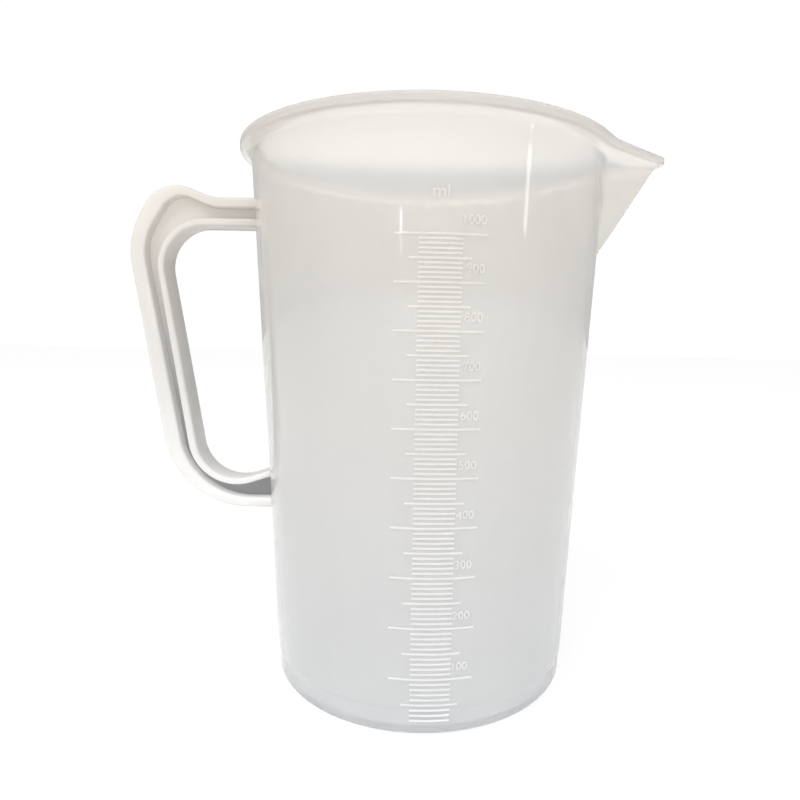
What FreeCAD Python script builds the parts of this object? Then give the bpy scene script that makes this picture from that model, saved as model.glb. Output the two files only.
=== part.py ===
import FreeCAD, Part
import math
import os

import Sketcher

# Measuring jug for one litre, injection moulded in one piece.
# The axis of the cup is Z and the middle of its foot is the origin. The spout
# points along +X, the handle along -X, and the scale is on the -Y side.

SIZES = {
    # Cup: the outside of the wall is straight from the foot to the bead.
    "cup_height": 167.0,
    "foot_radius": 47.3,
    "mouth_radius": 55.6,
    "wall": 1.8,
    "floor_top": 2.0,
    # Its round corners are two flats each, and the middle is where the two flats meet.
    "foot_round": 2.5,
    "foot_middle": 0.73,
    "floor_round": 3.0,
    "floor_middle": 0.88,
    # Rim: a bead with chamfered edges that a concave cove leads into.
    "bead_reach": 3.4,
    "bead_depth": 2.4,
    "bead_chamfer": 0.5,
    "cove": 2.0,
    "cove_middle": 0.59,
    # Spout: a wedge with a rounded keel, and a lip that carries on the bead.
    "spout_reach": 20.6,
    "spout_depth": 34.0,
    "spout_half": 39.3,
    "spout_round": 2.0,
    "spout_sink": 0.9,
    "root_sink": 1.8,
    "root_half": 4.0,
    "root_round": 1.0,
    "lip_reach": 2.0,
    "lip_nose": 1.86,
    "keel_wall": 2.5,
    # Handle: drops are from the top of its arm, reaches from the mouth radius.
    "handle_width": 10.0,
    "handle_web": 1.8,
    "handle_span": 101.4,
    "root_depth": 25.0,
    "arm_drop": 14.3,
    "arm_reach": 13.9,
    "brow_rise": 6.9,
    "brow_reach": 30.9,
    "elbow_drop": 14.2,
    "elbow_reach": 41.4,
    "heel_reach": 26.3,
    "arm_round": 15.0,
    "brow_round": 12.0,
    "elbow_round": 24.0,
    "heel_round": 28.0,
    "strap": 3.2,
    "back_strap": 4.7,
    "rail": 2.5,
    "strap_chamfer": 0.6,
    # Finger gap, measured as the handle is.
    "gap_drop": 9.2,
    "gap_reach": 31.9,
    "gap_heel_drop": 96.4,
    "gap_heel_reach": 16.9,
    "sill_drop": 81.9,
    "gap_round": 13.0,
    "gap_heel_round": 13.5,
}

doc = FreeCAD.newDocument("MeasuringJug")
sheet = doc.addObject("Spreadsheet::Sheet", "Sizes")
for row, (name, value) in enumerate(SIZES.items(), start=1):
    sheet.set(f"A{row}", name)
    sheet.set(f"B{row}", str(value))
    sheet.setAlias(f"B{row}", name)
doc.recompute()

body = doc.addObject("PartDesign::Body", "Jug")
body.Label = "jug"
doc.recompute()

# Sketcher's numbers for its own origin and axes, and for the points of a line or circle.
ORIGIN = -1
AXIS_X = -1
AXIS_Y = -2
START = 1
END = 2
CENTRE = 3
NORMAL = FreeCAD.Vector(0, 0, 1)


def size(formula):
    """The value of a sum of named sizes, such as 'cup_height - cove'."""
    total = 0.0
    sign = 1
    for word in formula.split():
        if word in "+-":
            sign = 1 if word == "+" else -1
        else:
            total += sign * SIZES[word]
    return total


def bound(formula):
    """The same sum as an expression on the sheet."""
    return " ".join(word if word in "+-" else f"Sizes.{word}" for word in formula.split())


def new_sketch(name, role, lift=""):
    """A sketch on one of the body's planes, moved along its normal by a sum of sizes."""
    sketch = body.newObject("Sketcher::SketchObject", name)
    plane = next(item for item in body.Origin.OriginFeatures if item.Role == role)
    sketch.AttachmentSupport = (plane, [""])
    sketch.MapMode = "FlatFace"
    if lift:
        sketch.setExpression("AttachmentOffset.Base.z", bound(lift))
    return sketch


def fix(sketch, kind, *parts):
    return sketch.addConstraint(Sketcher.Constraint(kind, *parts))


def drive(sketch, kind, parts, formula):
    """A dimension that follows the sheet."""
    index = fix(sketch, kind, *parts, size(formula))
    sketch.setExpression(f"Constraints[{index}]", bound(formula))


def pin(sketch, element, end, across, up):
    """Holds a point at two sums of sizes from the origin; an empty sum is on the axis."""
    for kind, formula, axis in (("DistanceX", across, AXIS_Y), ("DistanceY", up, AXIS_X)):
        if not formula:
            fix(sketch, "PointOnObject", element, end, axis)
        elif size(formula) > 0:
            drive(sketch, kind, (ORIGIN, START, element, end), formula)
        else:
            index = fix(sketch, kind, element, end, ORIGIN, START, -size(formula))
            sketch.setExpression(f"Constraints[{index}]", f"-({bound(formula)})")


def angle_at(middle, point):
    return math.atan2(point.y - middle.y, point.x - middle.x)


def tangent_arc(sketch, before, after, corner, radius):
    """Rounds the corner where line before ends and line after starts."""
    back = (sketch.Geometry[before].StartPoint - corner).normalize()
    onward = (sketch.Geometry[after].EndPoint - corner).normalize()
    half = back.getAngle(onward) / 2
    middle = corner + (back + onward).normalize() * (size(radius) / math.sin(half))
    first = angle_at(middle, corner + back * (size(radius) / math.tan(half)))
    last = angle_at(middle, corner + onward * (size(radius) / math.tan(half)))
    clockwise = (last - first) % (2 * math.pi) > math.pi
    if clockwise:
        first, last = last, first
    circle = Part.Circle(middle, NORMAL, size(radius))
    arc = sketch.addGeometry(Part.ArcOfCircle(circle, first, last))
    fix(sketch, "Tangent", before, END, arc, END if clockwise else START)
    fix(sketch, "Tangent", after, START, arc, START if clockwise else END)
    drive(sketch, "Radius", (arc,), radius)


def outline(sketch, corners):
    """A closed outline of lines, its corners sharp or rounded by tangent arcs.

    Each corner is (across, up, radius), three sums of sizes; a sharp one has no radius.
    """
    count = len(corners)
    points = [FreeCAD.Vector(size(across), size(up), 0) for across, up, _ in corners]
    trims = []
    for here, (_, _, radius) in enumerate(corners):
        back = points[here - 1] - points[here]
        onward = points[(here + 1) % count] - points[here]
        trims.append(size(radius) / math.tan(back.getAngle(onward) / 2))
    lines = []
    for here in range(count):
        there = (here + 1) % count
        way = (points[there] - points[here]).normalize()
        start = points[here] + way * trims[here]
        end = points[there] - way * trims[there]
        lines.append(sketch.addGeometry(Part.LineSegment(start, end)))
    for here, (across, up, radius) in enumerate(corners):
        before, after = lines[here - 1], lines[here]
        if not radius:
            fix(sketch, "Coincident", before, END, after, START)
            pin(sketch, after, START, across, up)
            continue
        mark = sketch.addGeometry(Part.Point(points[here]), True)
        pin(sketch, mark, START, across, up)
        fix(sketch, "PointOnObject", mark, START, before)
        fix(sketch, "PointOnObject", mark, START, after)
        tangent_arc(sketch, before, after, points[here], radius)


def wedge(sketch, ring, half, tip, radius):
    """A triangle with its rounded tip on the X axis and its back corners on a ring."""
    back = math.sqrt(size(ring) ** 2 - size(half) ** 2)
    apex = FreeCAD.Vector(size(tip), 0, 0)
    left = FreeCAD.Vector(back, size(half), 0)
    right = FreeCAD.Vector(back, -size(half), 0)
    slope = math.atan2(left.y, apex.x - left.x)
    trim = size(radius) / math.tan(slope)
    side = sketch.addGeometry(Part.LineSegment(right, apex + (right - apex).normalize() * trim))
    other = sketch.addGeometry(Part.LineSegment(apex + (left - apex).normalize() * trim, left))
    chord = sketch.addGeometry(Part.LineSegment(left, right))
    circle = sketch.addGeometry(Part.Circle(FreeCAD.Vector(), NORMAL, size(ring)), True)
    mark = sketch.addGeometry(Part.Point(apex), True)
    fix(sketch, "Coincident", circle, CENTRE, ORIGIN, START)
    drive(sketch, "Radius", (circle,), ring)
    fix(sketch, "Coincident", other, END, chord, START)
    fix(sketch, "Coincident", chord, END, side, START)
    fix(sketch, "PointOnObject", chord, START, circle)
    fix(sketch, "PointOnObject", chord, END, circle)
    fix(sketch, "Vertical", chord)
    drive(sketch, "DistanceY", (ORIGIN, START, chord, START), half)
    pin(sketch, mark, START, tip, "")
    fix(sketch, "PointOnObject", mark, START, side)
    fix(sketch, "PointOnObject", mark, START, other)
    tangent_arc(sketch, side, other, apex, radius)


def feature(kind, name, sketch):
    made = body.newObject(f"PartDesign::{kind}", name)
    made.Profile = sketch
    sketch.Visibility = False
    return made


def turned(kind, name, sketch):
    made = feature(kind, name, sketch)
    made.ReferenceAxis = (sketch, ["V_Axis"])
    doc.recompute()
    return made


# The handle is an outer strap and an inner rail, joined by a web on the middle plane
# between them. Its arms run on into the cup, where the cavity later cuts them off.
ROOT = "- mouth_radius + root_depth"
ARM = "cup_height - arm_drop"

frame = new_sketch("HandleOutline", "XZ_Plane")
outline(frame, [
    (ROOT, ARM, ""),
    ("- mouth_radius - arm_reach", ARM, "arm_round"),
    ("- mouth_radius - brow_reach", f"{ARM} + brow_rise", "brow_round"),
    ("- mouth_radius - elbow_reach", f"{ARM} - elbow_drop", "elbow_round"),
    ("- mouth_radius - heel_reach", f"{ARM} - handle_span", "heel_round"),
    (ROOT, f"{ARM} - handle_span", ""),
    (ROOT, f"{ARM} - sill_drop", ""),
    ("- mouth_radius - gap_heel_reach", f"{ARM} - gap_heel_drop", "gap_heel_round"),
    ("- mouth_radius - gap_reach", f"{ARM} - gap_drop", "gap_round"),
    (ROOT, f"{ARM} - gap_drop", ""),
])
handle = feature("Pad", "Handle", frame)
handle.Midplane = True
handle.setExpression("Length", "Sizes.handle_width")
doc.recompute()
handle_volume = handle.Shape.Volume

channel = new_sketch("ChannelOutline", "XZ_Plane")
outline(channel, [
    (ROOT, f"{ARM} - strap", ""),
    ("- mouth_radius - arm_reach", f"{ARM} - strap", "arm_round"),
    ("- mouth_radius - brow_reach + back_strap", f"{ARM} + brow_rise - back_strap",
     "brow_round - back_strap"),
    ("- mouth_radius - elbow_reach + back_strap", f"{ARM} - elbow_drop",
     "elbow_round - back_strap"),
    ("- mouth_radius - heel_reach + back_strap", f"{ARM} - handle_span + strap",
     "heel_round - back_strap"),
    (ROOT, f"{ARM} - handle_span + strap", ""),
    (ROOT, f"{ARM} - sill_drop - rail", ""),
    ("- mouth_radius - gap_heel_reach - rail", f"{ARM} - gap_heel_drop - rail",
     "gap_heel_round + rail"),
    ("- mouth_radius - gap_reach - rail", f"{ARM} - gap_drop + rail", "gap_round + rail"),
    (ROOT, f"{ARM} - gap_drop + rail", ""),
])
slot = feature("Pocket", "Channels", channel)
slot.Midplane = True
slot.setExpression("Length", "Sizes.handle_width")
doc.recompute()
assert slot.Shape.Volume < handle_volume, "the channels cut nothing"

# The edges of both straps are chamfered before the web closes the channels.
TOUCHING = 0.01
half_width = SIZES["handle_width"] / 2
rims = []
for number, edge in enumerate(slot.Shape.Edges, start=1):
    box = edge.BoundBox
    on_side = box.YLength < TOUCHING and abs(abs(box.YMin) - half_width) < TOUCHING
    if on_side and box.XMin < size(ROOT) - TOUCHING:
        rims.append(f"Edge{number}")
softened = body.newObject("PartDesign::Chamfer", "StrapEdges")
softened.Base = (slot, rims)
softened.setExpression("Size", "Sizes.strap_chamfer")
doc.recompute()

web = feature("Pad", "Web", channel)
web.Midplane = True
web.setExpression("Length", "Sizes.handle_web")
doc.recompute()

# Cup, still full: foot, wall, cove and bead.
BEAD = "mouth_radius + bead_reach"
shell = new_sketch("CupOutline", "XZ_Plane")
outline(shell, [
    ("", "", ""),
    ("foot_radius - foot_round", "", ""),
    ("foot_radius - foot_middle", "foot_middle", ""),
    ("foot_radius", "foot_round", ""),
    ("mouth_radius", "cup_height - bead_depth - cove", ""),
    ("mouth_radius + cove_middle", "cup_height - bead_depth - cove_middle", ""),
    ("mouth_radius + cove", "cup_height - bead_depth", ""),
    (f"{BEAD} - bead_chamfer", "cup_height - bead_depth", ""),
    (BEAD, "cup_height - bead_depth + bead_chamfer", ""),
    (BEAD, "cup_height - bead_chamfer", ""),
    (f"{BEAD} - bead_chamfer", "cup_height", ""),
    ("", "cup_height", ""),
])
turned("Revolution", "Cup", shell)

# Spout: a wedge that runs down from the rim and dies away in the wall.
BLOCK = ("mouth_radius - spout_sink", "spout_half", "mouth_radius + spout_reach", "spout_round")
spout_top = new_sketch("SpoutTop", "XY_Plane", "cup_height - bead_chamfer")
wedge(spout_top, *BLOCK)
spout_foot = new_sketch("SpoutFoot", "XY_Plane", "cup_height - spout_depth")
wedge(spout_foot, "mouth_radius - root_sink - root_half", "root_half",
      "mouth_radius - root_sink", "root_round")
spout = feature("AdditiveLoft", "Spout", spout_top)
spout.Sections = [spout_foot]
spout.Ruled = True
doc.recompute()

lip_outline = new_sketch("LipOutline", "XY_Plane", "cup_height")
wedge(lip_outline, "mouth_radius - spout_sink + lip_reach", "spout_half + lip_reach",
      "mouth_radius + spout_reach + lip_nose", "spout_round + lip_reach")
lip = feature("Pad", "Lip", lip_outline)
lip.Reversed = True
lip.setExpression("Length", "Sizes.bead_depth")
doc.recompute()

# The cavity and the channel of the spout.
solid_volume = lip.Shape.Volume
hollow = new_sketch("CavityOutline", "XZ_Plane")
outline(hollow, [
    ("", "floor_top", ""),
    ("foot_radius - wall - floor_round", "floor_top", ""),
    ("foot_radius - wall - floor_middle", "floor_top + floor_middle", ""),
    ("foot_radius - wall", "floor_top + floor_round", ""),
    ("mouth_radius - wall", "cup_height", ""),
    ("", "cup_height", ""),
])
cavity = turned("Groove", "Cavity", hollow)
assert cavity.Shape.Volume < solid_volume, "the cavity cut nothing"

pour_top = new_sketch("PourTop", "XY_Plane", "cup_height")
wedge(pour_top, "mouth_radius - spout_sink - wall", "spout_half - wall",
      "mouth_radius + spout_reach - keel_wall", "root_round")
pour_foot = new_sketch("PourFoot", "XY_Plane", "cup_height - spout_depth + wall")
wedge(pour_foot, "mouth_radius - root_sink - root_half - wall", "root_half - wall",
      "mouth_radius - root_sink - keel_wall", "root_round")
pour = feature("SubtractiveLoft", "PourChannel", pour_top)
pour.Sections = [pour_foot]
pour.Ruled = True
doc.recompute()
assert pour.Shape.Volume < cavity.Shape.Volume, "the spout stayed full"

body.Tip = pour
doc.recompute()

for item in doc.Objects:
    faults = [state for state in item.State if state in ("Invalid", "Error")]
    assert not faults, f"{item.Label}: {faults}"
parts = [body]
for part in parts:
    shape = part.Shape
    assert not shape.isNull() and shape.isValid() and len(shape.Solids) == 1, part.Label

os.makedirs("parts", exist_ok=True)
for part in parts:
    part.Shape.exportStep(f"parts/{part.Label}.step")
    print(part.Label, "volume", round(part.Shape.Volume), "mm3")
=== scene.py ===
import math

import bmesh
import bpy
from mathutils import Matrix, Vector


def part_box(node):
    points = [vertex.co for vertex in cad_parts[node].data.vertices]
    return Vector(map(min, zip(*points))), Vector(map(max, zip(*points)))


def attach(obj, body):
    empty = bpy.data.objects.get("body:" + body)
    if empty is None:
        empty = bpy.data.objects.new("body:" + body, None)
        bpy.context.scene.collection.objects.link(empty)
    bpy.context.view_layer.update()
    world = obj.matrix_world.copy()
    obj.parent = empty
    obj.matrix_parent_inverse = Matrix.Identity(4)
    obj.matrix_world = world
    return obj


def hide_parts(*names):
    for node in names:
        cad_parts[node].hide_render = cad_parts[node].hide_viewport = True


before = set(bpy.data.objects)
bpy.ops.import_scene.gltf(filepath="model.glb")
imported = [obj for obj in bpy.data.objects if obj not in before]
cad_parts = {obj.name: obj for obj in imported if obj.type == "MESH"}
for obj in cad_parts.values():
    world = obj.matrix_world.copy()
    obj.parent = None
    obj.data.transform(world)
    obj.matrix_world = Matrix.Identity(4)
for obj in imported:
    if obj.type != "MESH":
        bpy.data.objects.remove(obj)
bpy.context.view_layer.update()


# ---------------------------------------------------------------- camera
# A hand-held look at a jug that stands on a table: close, a little above half height,
# with the handle on the left. The lens is wide because the camera is so near.

MM = 0.001


def place_camera():
    camera = bpy.data.cameras.new("camera")
    camera.sensor_width = 36.0
    camera.lens = 28.07
    camera.shift_x = -0.0258
    camera.shift_y = -0.0189
    camera.clip_start = 0.01
    holder = bpy.data.objects.new("camera", camera)
    bpy.context.scene.collection.objects.link(holder)
    holder.location = (0, -209.14 * MM, 111.07 * MM)
    holder.rotation_euler = [math.radians(turn) for turn in (85.04, -1.054, 0.4015)]
    bpy.context.scene.camera = holder


place_camera()


# ---------------------------------------------------------------- cup
# The cup of the one-piece moulding, in natural polypropylene with no pigment: a straight
# tapered wall, a round foot, a bead round the rim that a cove leads into, and a spout whose
# sides run tangent out of the wall.

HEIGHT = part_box("jug")[1][2] / MM
FOOT_RADIUS = 47.3
MOUTH_RADIUS = 55.6
WALL = 1.8
FLOOR_TOP = 2.0
FOOT_ROUND = 2.5
FLOOR_ROUND = 3.0
FOOT_LINE = 8.0
FOOT_INSET = 0.25
FOOT_LINE_HEIGHT = 0.5
BEAD_REACH = 3.4
BEAD_DEPTH = 2.4
BEAD_ROUND = 0.6
COVE = 2.0
SPOUT_DEPTH = 34.0
TIP_RISE = 1.3
TIP_REACH = 17.6
BLEND = 1.6
# How finely the cup is divided: round it, over a round, over an edge, up the plain wall and
# up the spout, with the radii of the rings that fill the foot and the floor.
AROUND = 320
ROUND_STEPS = 6
EDGE_STEPS = 4
WALL_STEPS = 12
SPOUT_STEPS = 22
FOOT_RINGS = (8, 20, 32, 42)
FLOOR_RINGS = (36, 24, 12)
# Sections of the spout: where the back of the wedge is, half its width, its tip and the
# radius that rounds the tip; first at the rim, then where the spout dies away.
OUTER_TOP, OUTER_FOOT = (38.05, 39.3, 76.2, 2.0), (49.64, 4.0, 53.8, 1.0)
INNER_TOP, INNER_FOOT = (37.31, 37.5, 73.7, 1.0), (47.95, 2.2, 51.3, 1.0)
LIP = (38.85, 41.3, 78.06, 4.0)


def linear(code):
    """Linear colour of an sRGB hex value."""
    values = []
    for place in (0, 2, 4):
        level = int(code[place:place + 2], 16) / 255
        values.append(level / 12.92 if level <= 0.04045 else ((level + 0.055) / 1.055) ** 2.4)
    return (*values, 1.0)


def add_node(tree, kind, inputs=None, links=None, **settings):
    """Adds a node, with its settings, input values and incoming links."""
    node = tree.nodes.new(kind)
    for name, value in settings.items():
        setattr(node, name, value)
    for socket, value in (inputs or {}).items():
        node.inputs[socket].default_value = value
    for socket, source in (links or {}).items():
        tree.links.new(source, node.inputs[socket])
    return node


def natural_polypropylene(name, milkiness, painted_shade_factors=(1.0, 1.0), recess_shade=0.0):
    """Milky plastic: light comes through it, but shapes behind blur; its skin is a satin.

    Painted shade: one darkening factor low down and one higher up, and grey in deep places."""
    material = bpy.data.materials.new(name)
    material.use_nodes = True
    tree = material.node_tree
    tree.nodes.clear()
    place = add_node(tree, "ShaderNodeTexCoord").outputs["Object"]
    # Cloudy streaks, about 15 mm wide and 60 mm tall, as the melt cools up the wall.
    stretch = add_node(tree, "ShaderNodeMapping", {"Scale": (60, 60, 16)}, {"Vector": place})
    cloud = add_node(tree, "ShaderNodeTexNoise", {"Scale": 1.0, "Detail": 2.0},
                     {"Vector": stretch.outputs[0]})
    # Painted shade: drawn a little darker and warmer high up, lighter and cooler low down.
    height = add_node(tree, "ShaderNodeSeparateXYZ", links={"Vector": place}).outputs["Z"]
    rise = add_node(tree, "ShaderNodeMapRange", {"From Min": 0.0, "From Max": 0.16},
                    {"Value": height})
    tone = add_node(tree, "ShaderNodeValToRGB", links={"Fac": rise.outputs[0]})
    tone.color_ramp.elements[0].color = linear("f9fafc")
    tone.color_ramp.elements[1].color = linear("f1ece5")
    cloudy = add_node(tree, "ShaderNodeMapRange", {"To Min": 0.94}, {"Value": cloud.outputs[0]})
    # Painted shade: from 50 to 90 mm up the tone is scaled from the low factor to the high one.
    fade = add_node(tree, "ShaderNodeMapRange",
                    {"From Min": 0.050, "From Max": 0.090, "To Min": painted_shade_factors[0],
                     "To Max": painted_shade_factors[1]}, {"Value": height})
    shade = add_node(tree, "ShaderNodeMath", operation="MULTIPLY",
                     links={0: cloudy.outputs[0], 1: fade.outputs[0]})
    clean_tone = add_node(tree, "ShaderNodeVectorMath", operation="SCALE",
                          links={0: tone.outputs[0], "Scale": shade.outputs[0]})
    # Painted shade: a deep place is mixed towards grey, most of all low down.
    lower = add_node(tree, "ShaderNodeMapRange",
                     {"From Min": 0.140, "From Max": 0.070, "To Max": recess_shade}, {"Value": height})
    milk_tone = add_node(tree, "ShaderNodeMix", data_type="RGBA")
    milk_tone.inputs["B"].default_value = linear("62656a")
    tree.links.new(lower.outputs[0], milk_tone.inputs["Factor"])
    tree.links.new(clean_tone.outputs[0], milk_tone.inputs["A"])
    # The mould was blasted to a fine grain of about 0.4 mm, drawn at that size.
    grain = add_node(tree, "ShaderNodeTexNoise", {"Scale": 2500.0, "Detail": 1.0},
                     {"Vector": place})
    bump = add_node(tree, "ShaderNodeBump", {"Strength": 0.05, "Distance": 0.00003},
                    {"Height": grain.outputs[0]})
    rough = add_node(tree, "ShaderNodeMapRange", {"To Min": 0.04, "To Max": 0.07},
                     {"Value": cloud.outputs[0]})
    clear = add_node(tree, "ShaderNodeBsdfPrincipled",
                     {"Base Color": linear("f9f8f5"), "IOR": 1.49, "Transmission Weight": 1.0},
                     {"Roughness": rough.outputs[0], "Normal": bump.outputs[0]})
    skin = add_node(tree, "ShaderNodeBsdfPrincipled", {"IOR": 1.49},
                    {"Base Color": milk_tone.outputs["Result"], "Roughness": rough.outputs[0],
                     "Normal": bump.outputs[0]})
    through = add_node(tree, "ShaderNodeBsdfTranslucent",
                       links={"Color": milk_tone.outputs["Result"]})
    milk = add_node(tree, "ShaderNodeMixShader", {0: 0.40},
                    {1: skin.outputs[0], 2: through.outputs[0]})
    body = add_node(tree, "ShaderNodeMixShader", {0: milkiness},
                    {1: clear.outputs[0], 2: milk.outputs[0]})
    add_node(tree, "ShaderNodeOutputMaterial", links={"Surface": body.outputs[0]})
    return material




def wall_radius(z):
    share = (z - FOOT_ROUND) / (HEIGHT - BEAD_DEPTH - COVE - FOOT_ROUND)
    return FOOT_RADIUS + (MOUTH_RADIUS - FOOT_RADIUS) * share


def cavity_radius(z):
    share = (z - FLOOR_TOP - FLOOR_ROUND) / (HEIGHT - FLOOR_TOP - FLOOR_ROUND)
    return FOOT_RADIUS - WALL + (MOUTH_RADIUS - FOOT_RADIUS) * share


def smooth_max(first, second, width):
    """The larger of two values, with a fillet where they cross."""
    meet = max(width - abs(first - second), 0.0) / width
    return max(first, second) + meet * meet * width / 4


def wedge_radius(angle, section):
    """How far out the side of a wedge lies, at an angle from the middle of the spout."""
    back, half, tip, radius = section
    turn = abs(angle)
    slope = math.atan2(half, tip - back)
    centre = tip - radius / math.sin(slope)
    touch = math.atan2(radius * math.cos(slope), centre + radius * math.sin(slope))
    if turn < touch:
        return centre * math.cos(turn) + math.sqrt(radius ** 2 - (centre * math.sin(turn)) ** 2)
    nearest = math.pi / 2 - slope
    least = tip * math.sin(slope)
    if turn < nearest:
        return least / math.cos(nearest - turn)
    return least * max(math.cos(turn - nearest), 0.0)


def between(top, foot, z, reach):
    """Section of the spout at a height, between its top and its foot."""
    share = (HEIGHT - z) / reach
    return [a + (b - a) * share for a, b in zip(top, foot)]


def foot_step(z):
    """The foot is a little narrower than the wall, up to a fine line round it."""
    share = min(max((z - FOOT_LINE) / FOOT_LINE_HEIGHT, 0.0), 1.0)
    return FOOT_INSET * (1 - share)


def outside(angle, z):
    wedge = wedge_radius(angle, between(OUTER_TOP, OUTER_FOOT, z, SPOUT_DEPTH)) \
        if z > HEIGHT - SPOUT_DEPTH else 0.0
    return smooth_max(wall_radius(z), wedge, BLEND) - foot_step(z)


def inside(angle, z):
    wedge = wedge_radius(angle, between(INNER_TOP, INNER_FOOT, z, SPOUT_DEPTH - WALL)) \
        if z > HEIGHT - SPOUT_DEPTH + WALL else 0.0
    return smooth_max(cavity_radius(z), wedge, BLEND)


def bead_edge(angle):
    return smooth_max(MOUTH_RADIUS + BEAD_REACH, wedge_radius(angle, LIP), BLEND)


def lift(radius, z):
    """The lip climbs a little towards its tip."""
    past = max(radius - MOUTH_RADIUS - BEAD_REACH, 0.0) / TIP_REACH
    return z + TIP_RISE * past * max(0.0, 1 - (HEIGHT - z) / SPOUT_DEPTH)


def quarter(count):
    """Sine and cosine pairs over a right angle."""
    return [(math.sin(math.pi / 2 * i / count), math.cos(math.pi / 2 * i / count))
            for i in range(count + 1)]


def cup_stations():
    """Rings of the cup from the middle of the foot, up outside, and down to the floor."""
    rings = []
    for radius in FOOT_RINGS:
        rings.append(lambda angle, radius=radius: (radius, 0.0))
    for rise, lean in quarter(ROUND_STEPS):
        z = FOOT_ROUND * (1 - lean)
        rings.append(lambda angle, rise=rise, z=z:
                     (outside(math.pi, FOOT_ROUND) - FOOT_ROUND * (1 - rise), z))
    top = HEIGHT - BEAD_DEPTH - COVE
    low = HEIGHT - SPOUT_DEPTH - 3
    heights = [FOOT_LINE - 1, FOOT_LINE, FOOT_LINE + 0.25, FOOT_LINE + 0.5, FOOT_LINE + 1.5]
    heights += [FOOT_LINE + (low - FOOT_LINE) * i / WALL_STEPS
                for i in range(1, WALL_STEPS + 1)]
    heights += [low + (top - low) * i / SPOUT_STEPS for i in range(1, SPOUT_STEPS + 1)]
    for z in heights:
        rings.append(lambda angle, z=z: (outside(angle, z), z))
    for rise, lean in quarter(ROUND_STEPS)[1:]:
        z = top + COVE * rise
        rings.append(lambda angle, lean=lean, z=z:
                     (min(outside(angle, z) + COVE * (1 - lean),
                          bead_edge(angle) - BEAD_ROUND), z))
    for rise, lean in quarter(EDGE_STEPS):
        z = HEIGHT - BEAD_DEPTH + BEAD_ROUND * (1 - lean)
        rings.append(lambda angle, rise=rise, z=z:
                     (bead_edge(angle) - BEAD_ROUND * (1 - rise), z))
    for rise, lean in quarter(EDGE_STEPS):
        z = HEIGHT - BEAD_ROUND * (1 - rise)
        rings.append(lambda angle, lean=lean, z=z:
                     (bead_edge(angle) - BEAD_ROUND * (1 - lean), z))
    rings.append(lambda angle: ((bead_edge(angle) + inside(angle, HEIGHT)) / 2, HEIGHT))
    for rise, lean in quarter(EDGE_STEPS):
        z = HEIGHT - BEAD_ROUND * (1 - lean)
        rings.append(lambda angle, rise=rise, z=z:
                     (inside(angle, z) + BEAD_ROUND * (1 - rise), z))
    bottom = FLOOR_TOP + FLOOR_ROUND
    heights = [top - (top - low) * i / SPOUT_STEPS for i in range(SPOUT_STEPS + 1)]
    heights += [low + (bottom - low) * i / WALL_STEPS for i in range(1, WALL_STEPS + 1)]
    for z in heights:
        rings.append(lambda angle, z=z: (inside(angle, z), z))
    for rise, lean in quarter(ROUND_STEPS)[1:]:
        z = bottom - FLOOR_ROUND * rise
        rings.append(lambda angle, lean=lean, z=z:
                     (cavity_radius(bottom) - FLOOR_ROUND * (1 - lean), z))
    for radius in FLOOR_RINGS:
        rings.append(lambda angle, radius=radius: (radius, FLOOR_TOP))
    return rings


def ring_angles():
    """Angles round the cup, closest together at the tip of the spout."""
    angles = []
    for step in range(AROUND):
        share = 2 * step / AROUND - 1
        angles.append(math.copysign(math.pi * abs(share) ** 1.5, share))
    return angles


def to_mesh(shape, name):
    mesh = bpy.data.meshes.new(name)
    shape.to_mesh(mesh)
    shape.free()
    return mesh


def build_cup():
    shape = bmesh.new()
    angles = ring_angles()
    rings = []
    for station in cup_stations():
        ring = []
        for angle in angles:
            radius, z = station(angle)
            spot = Vector((radius * math.cos(angle), radius * math.sin(angle), lift(radius, z)))
            ring.append(shape.verts.new(spot * MM))
        rings.append(ring)
    for lower, upper in zip(rings, rings[1:]):
        for i in range(AROUND):
            j = (i + 1) % AROUND
            shape.faces.new((lower[i], lower[j], upper[j], upper[i]))
    for ring, z in ((rings[0], 0.0), (rings[-1], FLOOR_TOP)):
        pole = shape.verts.new((0, 0, z * MM))
        for i in range(AROUND):
            shape.faces.new((ring[i], ring[(i + 1) % AROUND], pole))
    bmesh.ops.recalc_face_normals(shape, faces=shape.faces)
    return to_mesh(shape, "cup")


def add_piece(name, mesh, finish):
    piece = bpy.data.objects.new(name, mesh)
    bpy.context.scene.collection.objects.link(piece)
    mesh.materials.clear()
    mesh.materials.append(finish)
    return piece


plastic = natural_polypropylene("injection_moulded_natural_polypropylene", 0.34)
jug = add_piece("jug_moulding", build_cup(), plastic)


# ---------------------------------------------------------------- handle
# The handle of the same moulding: an outer strap and a thinner inner rail, joined on the
# mould's parting plane by a web, so that a channel runs along each side of it.

ARM_TOP = HEIGHT - 14.3
SPAN = 101.4
STRAP = 3.2
BACK_STRAP = 4.7
RAIL = 2.5
HANDLE_HALF_WIDTH = 5.0
WEB_HALF = 0.9
STRAP_EDGE = 0.7
ROOT_SINK = 1.0
# The grip's corners, by how far out from the mouth they lie, how far above or below the top
# of the arm, and the radius that rounds them; then the same for the finger gap.
ARM_REACH, ARM_ROUND = 13.9, 15
BROW_REACH, BROW_RISE, BROW_ROUND = 30.9, 6.9, 12
ELBOW_REACH, ELBOW_DROP, ELBOW_ROUND = 41.4, 14.2, 24
HEEL_REACH, HEEL_ROUND = 26.3, 28
GAP_REACH, GAP_DROP, GAP_ROUND = 31.9, 9.2, 13
GAP_HEEL_REACH, GAP_HEEL_DROP, GAP_HEEL_ROUND = 16.9, 96.4, 13.5
# Where the lower edge of the gap meets the wall, and how thick the rail is there.
SILL_DROP, SILL_RAIL = 88.5, 2.2


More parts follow.
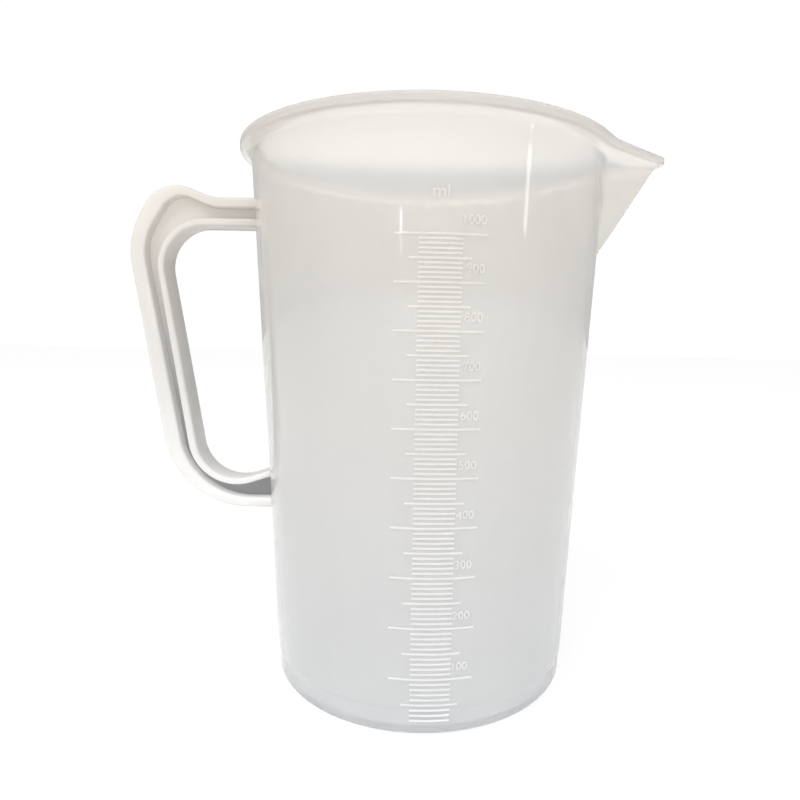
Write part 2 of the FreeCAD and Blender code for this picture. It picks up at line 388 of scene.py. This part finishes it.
def rounded_path(corners, step=4.0):
    """Points along straight lines with rounded corners; a corner is (reach, height, radius)."""
    path = []
    for index, (reach, z, radius) in enumerate(corners):
        here = Vector((reach, z))
        if not radius:
            path.append(here)
            continue
        back = (Vector(corners[index - 1][:2]) - here).normalized()
        onward = (Vector(corners[index + 1][:2]) - here).normalized()
        half = back.angle(onward) / 2
        middle = here + (back + onward).normalized() * (radius / math.sin(half))
        first = here + back * (radius / math.tan(half)) - middle
        last = here + onward * (radius / math.tan(half)) - middle
        turn = first.angle_signed(last)
        count = max(3, round(abs(math.degrees(turn)) / step))
        for i in range(count + 1):
            spin = Matrix.Rotation(-turn * i / count, 2)
            path.append(middle + spin @ first)
    return path


def root(z):
    """Where a strap ends, just inside the wall."""
    return wall_radius(z) - ROOT_SINK


def handle_paths():
    """Outer and inner side of the strap, then of the rail, each from the arm to the foot."""
    foot = ARM_TOP - SPAN
    arm, brow = MOUTH_RADIUS + ARM_REACH, MOUTH_RADIUS + BROW_REACH
    elbow, heel = MOUTH_RADIUS + ELBOW_REACH, MOUTH_RADIUS + HEEL_REACH
    gap_out, gap_heel = MOUTH_RADIUS + GAP_REACH, MOUTH_RADIUS + GAP_HEEL_REACH
    gap_top, gap_foot = ARM_TOP - GAP_DROP, ARM_TOP - GAP_HEEL_DROP
    sill = ARM_TOP - SILL_DROP
    outer = [(root(ARM_TOP), ARM_TOP, 0), (arm, ARM_TOP, ARM_ROUND),
             (brow, ARM_TOP + BROW_RISE, BROW_ROUND),
             (elbow, ARM_TOP - ELBOW_DROP, ELBOW_ROUND),
             (heel, foot, HEEL_ROUND), (root(foot), foot, 0)]
    under = [(root(ARM_TOP), ARM_TOP - STRAP, 0), (arm, ARM_TOP - STRAP, ARM_ROUND),
             (brow - BACK_STRAP, ARM_TOP + BROW_RISE - BACK_STRAP, BROW_ROUND - BACK_STRAP),
             (elbow - BACK_STRAP, ARM_TOP - ELBOW_DROP, ELBOW_ROUND - BACK_STRAP),
             (heel - BACK_STRAP, foot + STRAP, HEEL_ROUND - BACK_STRAP),
             (root(foot), foot + STRAP, 0)]
    gap = [(root(ARM_TOP), gap_top, 0), (gap_out, gap_top, GAP_ROUND),
           (gap_heel, gap_foot, GAP_HEEL_ROUND), (root(sill), sill, 0)]
    rail = [(root(ARM_TOP), gap_top + RAIL, 0),
            (gap_out + RAIL, gap_top + RAIL, GAP_ROUND + RAIL),
            (gap_heel + RAIL, gap_foot - RAIL, GAP_HEEL_ROUND + RAIL),
            (root(sill), sill - SILL_RAIL, 0)]
    return [rounded_path(corners) for corners in (outer, under, rail, gap)]


def slab(name, loop, half, finish):
    """A flat bar of the outline's shape, lying on both sides of the middle plane."""
    shape = bmesh.new()
    sides = []
    for y in (-half, half):
        sides.append([shape.verts.new((-reach * MM, y * MM, z * MM)) for reach, z in loop])
    front, back = sides
    shape.faces.new(front)
    shape.faces.new(list(reversed(back)))
    for i in range(len(loop)):
        j = (i + 1) % len(loop)
        shape.faces.new((front[j], front[i], back[i], back[j]))
    bmesh.ops.recalc_face_normals(shape, faces=shape.faces)
    return add_piece(name, to_mesh(shape, name), finish)


def apply_modifiers(piece):
    view = bpy.context.evaluated_depsgraph_get()
    mesh = bpy.data.meshes.new_from_object(piece.evaluated_get(view))
    piece.modifiers.clear()
    piece.data = mesh


def join_by_union(base, addition):
    union = base.modifiers.new("union", "BOOLEAN")
    union.operation = "UNION"
    union.solver = "EXACT"
    union.material_mode = "TRANSFER"
    union.object = addition
    apply_modifiers(base)
    bpy.data.objects.remove(addition)


# The straps are thicker than the wall, so less light gets through them; painted shade darkens
# them higher up. The web between them is out of the light, and its shade is painted in as grey.
strap_plastic = natural_polypropylene("thick_natural_polypropylene_painted_shade", 0.9, (1.0, 0.83))
web_plastic = natural_polypropylene("natural_polypropylene_painted_recess_shade", 0.9, (0.92, 0.92), 0.65)
outer, under, rail, gap = handle_paths()
strap_piece = slab("outer_strap", outer + under[::-1], HANDLE_HALF_WIDTH, strap_plastic)
rail_piece = slab("inner_rail", rail + gap[::-1], HANDLE_HALF_WIDTH, strap_plastic)
web_piece = slab("web", under + rail[::-1], WEB_HALF, web_plastic)
for piece in (strap_piece, rail_piece):
    softened = piece.modifiers.new("edges", "BEVEL")
    softened.width = STRAP_EDGE * MM
    softened.segments = 3
    softened.limit_method = "ANGLE"
    softened.angle_limit = math.radians(60)
    apply_modifiers(piece)
    join_by_union(jug, piece)
join_by_union(jug, web_piece)


def smooth_by_angle(piece, limit):
    mesh = piece.data
    for face in mesh.polygons:
        face.use_smooth = True
    mesh.set_sharp_from_angle(angle=math.radians(limit))


smooth_by_angle(jug, 32)
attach(jug, "root")
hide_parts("jug")


# ---------------------------------------------------------------- scale
# The scale is cut into the mould, so it stands nearly 0.25 mm proud in the same plastic: a
# line for every 10 ml, longer at 50 and 100, and plain figures at the hundreds.

TICK_MIDDLE = -86.3
TICK_HEIGHT = 0.5
TICK_RAISE = 0.25
TICK_SINK = 0.02
FIRST_TICK = 2
LAST_TICK = 100
TICK_VOLUME = 1e-5  # ten millilitres, in cubic metres
SHORT, MIDDLE, LONG = 11.0, 15.6, 23.0
FIGURE_END, FIGURE_LIFT, FIGURE_HEIGHT = -74.2, 2.5, 2.3
UNIT_END, UNIT_LIFT, UNIT_HEIGHT = -84.0, 8.5, 3.3
CAPITAL = 0.7  # height of a figure as a share of the font's size


def height_of(volume):
    """Height in mm of the level at a volume in ml, in a cavity that is a cone."""
    slope = (MOUTH_RADIUS - FOOT_RADIUS) / (HEIGHT - FLOOR_TOP - FLOOR_ROUND)
    start = FOOT_RADIUS - WALL
    reach = (start ** 3 + 3 * slope * volume * 1000 / math.pi) ** (1 / 3)
    return FLOOR_TOP + (reach - start) / slope


def math_node(tree, operation, first, second=None):
    node = add_node(tree, "ShaderNodeMath", operation=operation)
    for socket, value in zip(node.inputs, (first, second)):
        if hasattr(value, "is_output"):
            tree.links.new(value, socket)
        elif value is not None:
            socket.default_value = value
    return node.outputs[0]


def tick_tree(material):
    """One bar for each 10 ml, laid at the height of its volume and bent round the cup."""
    tree = bpy.data.node_groups.new("scale_ticks", "GeometryNodeTree")
    tree.interface.new_socket("Geometry", in_out="OUTPUT", socket_type="NodeSocketGeometry")
    for name in ("Count", "First"):
        tree.interface.new_socket(name, in_out="INPUT", socket_type="NodeSocketInt")
    for name in ("Short", "Middle", "Long", "Height", "Raise", "Azimuth"):
        tree.interface.new_socket(name, in_out="INPUT", socket_type="NodeSocketFloat")
    given = add_node(tree, "NodeGroupInput").outputs
    slope = (MOUTH_RADIUS - FOOT_RADIUS) / (HEIGHT - FLOOR_TOP - FLOOR_ROUND)
    start = (FOOT_RADIUS - WALL) * MM

    index = add_node(tree, "GeometryNodeInputIndex").outputs[0]
    number = math_node(tree, "ADD", index, given["First"])
    volume = math_node(tree, "MULTIPLY", number, 3 * slope * TICK_VOLUME / math.pi)
    cubed = math_node(tree, "ADD", volume, start ** 3)
    rise = math_node(tree, "SUBTRACT", math_node(tree, "POWER", cubed, 1 / 3), start)
    level = math_node(tree, "ADD", math_node(tree, "DIVIDE", rise, slope), FLOOR_TOP * MM)
    spot = add_node(tree, "ShaderNodeCombineXYZ", links={"Z": level})
    points = add_node(tree, "GeometryNodePoints",
                      links={"Count": given["Count"], "Position": spot.outputs[0]})

    fifth = math_node(tree, "COMPARE", math_node(tree, "MODULO", number, 5.0), 0.0)
    tenth = math_node(tree, "COMPARE", math_node(tree, "MODULO", number, 10.0), 0.0)
    added = math_node(tree, "MULTIPLY", fifth,
                      math_node(tree, "SUBTRACT", given["Middle"], given["Short"]))
    longer = math_node(tree, "MULTIPLY", tenth,
                       math_node(tree, "SUBTRACT", given["Long"], given["Middle"]))
    length = math_node(tree, "ADD", math_node(tree, "ADD", given["Short"], added), longer)
    stretch = add_node(tree, "ShaderNodeCombineXYZ", {"Y": 1.0, "Z": 1.0}, {"X": length})

    block = add_node(tree, "ShaderNodeCombineXYZ", {"X": 1.0},
                     {"Y": given["Raise"], "Z": given["Height"]})
    bar = add_node(tree, "GeometryNodeMeshCube",
                   {"Vertices X": 20, "Vertices Y": 2, "Vertices Z": 2},
                   {"Size": block.outputs[0]})
    row = add_node(tree, "GeometryNodeInstanceOnPoints",
                   links={"Points": points.outputs[0], "Instance": bar.outputs[0],
                          "Scale": stretch.outputs[0]})
    solid = add_node(tree, "GeometryNodeRealizeInstances", links={"Geometry": row.outputs[0]})

    position = add_node(tree, "GeometryNodeInputPosition").outputs[0]
    here = add_node(tree, "ShaderNodeSeparateXYZ", links={0: position}).outputs
    taper = (MOUTH_RADIUS - FOOT_RADIUS) / (HEIGHT - BEAD_DEPTH - COVE - FOOT_ROUND)
    wall = math_node(tree, "ADD", math_node(tree, "MULTIPLY", here["Z"], taper),
                     wall_radius(0) * MM)
    middle = math_node(tree, "MULTIPLY", given["Raise"], 0.5 - TICK_SINK / TICK_RAISE)
    radius = math_node(tree, "SUBTRACT", math_node(tree, "ADD", wall, middle), here["Y"])
    angle = math_node(tree, "ADD", math_node(tree, "DIVIDE", here["X"], wall), given["Azimuth"])
    bent = add_node(tree, "ShaderNodeCombineXYZ", links={
        "X": math_node(tree, "MULTIPLY", radius, math_node(tree, "COSINE", angle)),
        "Y": math_node(tree, "MULTIPLY", radius, math_node(tree, "SINE", angle)),
        "Z": here["Z"]})
    wrapped = add_node(tree, "GeometryNodeSetPosition",
                       links={"Geometry": solid.outputs[0], "Position": bent.outputs[0]})
    finished = add_node(tree, "GeometryNodeSetMaterial", {"Material": material},
                        {"Geometry": wrapped.outputs[0]})
    add_node(tree, "NodeGroupOutput", links={0: finished.outputs[0]})
    return tree


# The engraved lines of the mould are rough, so the raised ones come out whiter.
raised_plastic = natural_polypropylene("rough_natural_polypropylene", 0.68)


def build_ticks():
    piece = add_piece("scale_ticks", bpy.data.meshes.new("scale_ticks"), raised_plastic)
    modifier = piece.modifiers.new("ticks", "NODES")
    modifier.node_group = tick_tree(raised_plastic)
    values = {"Count": LAST_TICK - FIRST_TICK + 1, "First": FIRST_TICK,
              "Short": SHORT * MM, "Middle": MIDDLE * MM, "Long": LONG * MM,
              "Height": TICK_HEIGHT * MM, "Raise": TICK_RAISE * MM,
              "Azimuth": math.radians(TICK_MIDDLE)}
    for socket in modifier.node_group.interface.items_tree:
        if socket.in_out == "INPUT":
            modifier[socket.identifier] = values[socket.name]
    apply_modifiers(piece)
    return piece


def figures(words, right_end, bottom, height):
    """Words as thin raised letters, right-aligned at an azimuth and bent round the cup."""
    curve = bpy.data.curves.new(words, "FONT")
    curve.body = words
    curve.align_x = "RIGHT"
    curve.size = height / CAPITAL * MM
    curve.extrude = TICK_RAISE / 2 * MM
    curve.resolution_u = 4
    writing = bpy.data.objects.new(words, curve)
    bpy.context.scene.collection.objects.link(writing)
    view = bpy.context.evaluated_depsgraph_get()
    mesh = bpy.data.meshes.new_from_object(writing.evaluated_get(view))
    bpy.data.objects.remove(writing)
    for vertex in mesh.vertices:
        across, up, out = vertex.co
        z = bottom + up / MM
        radius = wall_radius(z) + out / MM + TICK_RAISE / 2 - TICK_SINK
        angle = math.radians(right_end) + across / MM / wall_radius(z)
        vertex.co = Vector((radius * math.cos(angle), radius * math.sin(angle), z)) * MM
    return mesh


def build_figures():
    shape = bmesh.new()
    for volume in range(100, 1001, 100):
        bottom = height_of(volume) + FIGURE_LIFT
        shape.from_mesh(figures(str(volume), FIGURE_END, bottom, FIGURE_HEIGHT))
    shape.from_mesh(figures("ml", UNIT_END, height_of(volume) + UNIT_LIFT, UNIT_HEIGHT))
    return add_piece("scale_figures", to_mesh(shape, "scale_figures"), raised_plastic)


for piece in (build_ticks(), build_figures()):
    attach(piece, "root")


# ---------------------------------------------------------------- floor and light
# A plain white floor and a large soft light from the upper left, as for a catalogue.

BEHIND = "babec5"
FLOOR = -0.05 * MM  # just clear of the foot, so that the two faces never coincide


def studio():
    scene = bpy.context.scene
    scene.view_settings.view_transform = "Standard"
    world = bpy.data.worlds.new("studio")
    scene.world = world
    world.use_nodes = True
    tree = world.node_tree
    tree.nodes.clear()
    rays = add_node(tree, "ShaderNodeLightPath").outputs
    seen = add_node(tree, "ShaderNodeMath", operation="MAXIMUM",
                    links={0: rays["Is Camera Ray"], 1: rays["Is Transmission Ray"]})
    mirrored = add_node(tree, "ShaderNodeMapRange", {"To Min": 0.86, "To Max": 0.55},
                        {"Value": rays["Is Glossy Ray"]})
    strength = add_node(tree, "ShaderNodeMix", {"B": 1.02},
                        {"Factor": seen.outputs[0], "A": mirrored.outputs[0]})
    # Through the plastic the wall behind is white above and grey below a level line.
    direction = add_node(tree, "ShaderNodeTexCoord").outputs["Generated"]
    upward = add_node(tree, "ShaderNodeSeparateXYZ", links={"Vector": direction}).outputs["Z"]
    below = add_node(tree, "ShaderNodeMapRange", {"From Min": 0.255, "From Max": 0.232},
                     {"Value": upward})
    through = add_node(tree, "ShaderNodeMath", operation="MULTIPLY",
                       links={0: below.outputs[0], 1: rays["Is Transmission Ray"]})
    wall_tone = add_node(tree, "ShaderNodeMix", data_type="RGBA",
                         links={"Factor": through.outputs[0]})
    wall_tone.inputs["A"].default_value = linear("ffffff")
    wall_tone.inputs["B"].default_value = linear(BEHIND)
    sky = add_node(tree, "ShaderNodeBackground", links={
        "Color": wall_tone.outputs["Result"], "Strength": strength.outputs[0]})
    add_node(tree, "ShaderNodeOutputWorld", links={"Surface": sky.outputs[0]})

    mesh = bpy.data.meshes.new("floor")
    half = 3.0
    mesh.from_pydata([(-half, -half, FLOOR), (half, -half, FLOOR), (half, half, FLOOR),
                      (-half, half, FLOOR)],
                     [], [(0, 1, 2, 3)])
    paper = bpy.data.materials.new("matt_white_paper")
    paper.use_nodes = True
    tree = paper.node_tree
    tree.nodes.clear()
    rays = add_node(tree, "ShaderNodeLightPath").outputs
    seen = add_node(tree, "ShaderNodeMath", operation="MAXIMUM",
                    links={0: rays["Is Camera Ray"], 1: rays["Is Transmission Ray"]})
    share = add_node(tree, "ShaderNodeMapRange", {"To Min": 0.35, "To Max": 0.88},
                     {"Value": seen.outputs[0]})
    matt = add_node(tree, "ShaderNodeBsdfDiffuse", {"Color": linear("f6f6f5")})
    floor_tone = add_node(tree, "ShaderNodeMix", data_type="RGBA",
                          links={"Factor": rays["Is Transmission Ray"]})
    floor_tone.inputs["A"].default_value = linear("ffffff")
    floor_tone.inputs["B"].default_value = linear(BEHIND)
    glow = add_node(tree, "ShaderNodeEmission", links={"Color": floor_tone.outputs["Result"]})
    mixed = add_node(tree, "ShaderNodeMixShader",
                     links={0: share.outputs[0], 1: matt.outputs[0], 2: glow.outputs[0]})
    add_node(tree, "ShaderNodeOutputMaterial", links={"Surface": mixed.outputs[0]})
    floor = add_piece("floor", mesh, paper)

    # Two broad soft lights shape it and cast the shadow. The strip and the two small lamps
    # only show as the glints on the wall. Only the high one is seen through the plastic.
    for name, spot, wide, tall, power, glints in (
            ("key", (-0.6, -0.9, 1.5), 1.2, 1.2, 30.0, False),
            ("fill", (0.7, -1.6, 0.1), 2.4, 0.8, 25.0, False),
            ("strip", (1.07, -0.59, 0.30), 0.05, 0.17, 0.16, True),
            ("upper lamp", (-0.332, -1.206, 0.221), 0.03, 0.04, 0.06, True),
            ("lower lamp", (-0.330, -1.208, 0.164), 0.02, 0.03, 0.012, True)):
        lamp = bpy.data.lights.new(name, "AREA")
        lamp.shape = "RECTANGLE"
        lamp.size = wide
        lamp.size_y = tall
        lamp.energy = power
        holder = bpy.data.objects.new(name, lamp)
        bpy.context.scene.collection.objects.link(holder)
        holder.location = spot
        aim = Vector((0, 0, 0.08)) - Vector(spot)
        holder.rotation_euler = aim.to_track_quat("-Z", "Y").to_euler()
        holder.visible_glossy = glints
        holder.visible_transmission = name == "key"


studio()
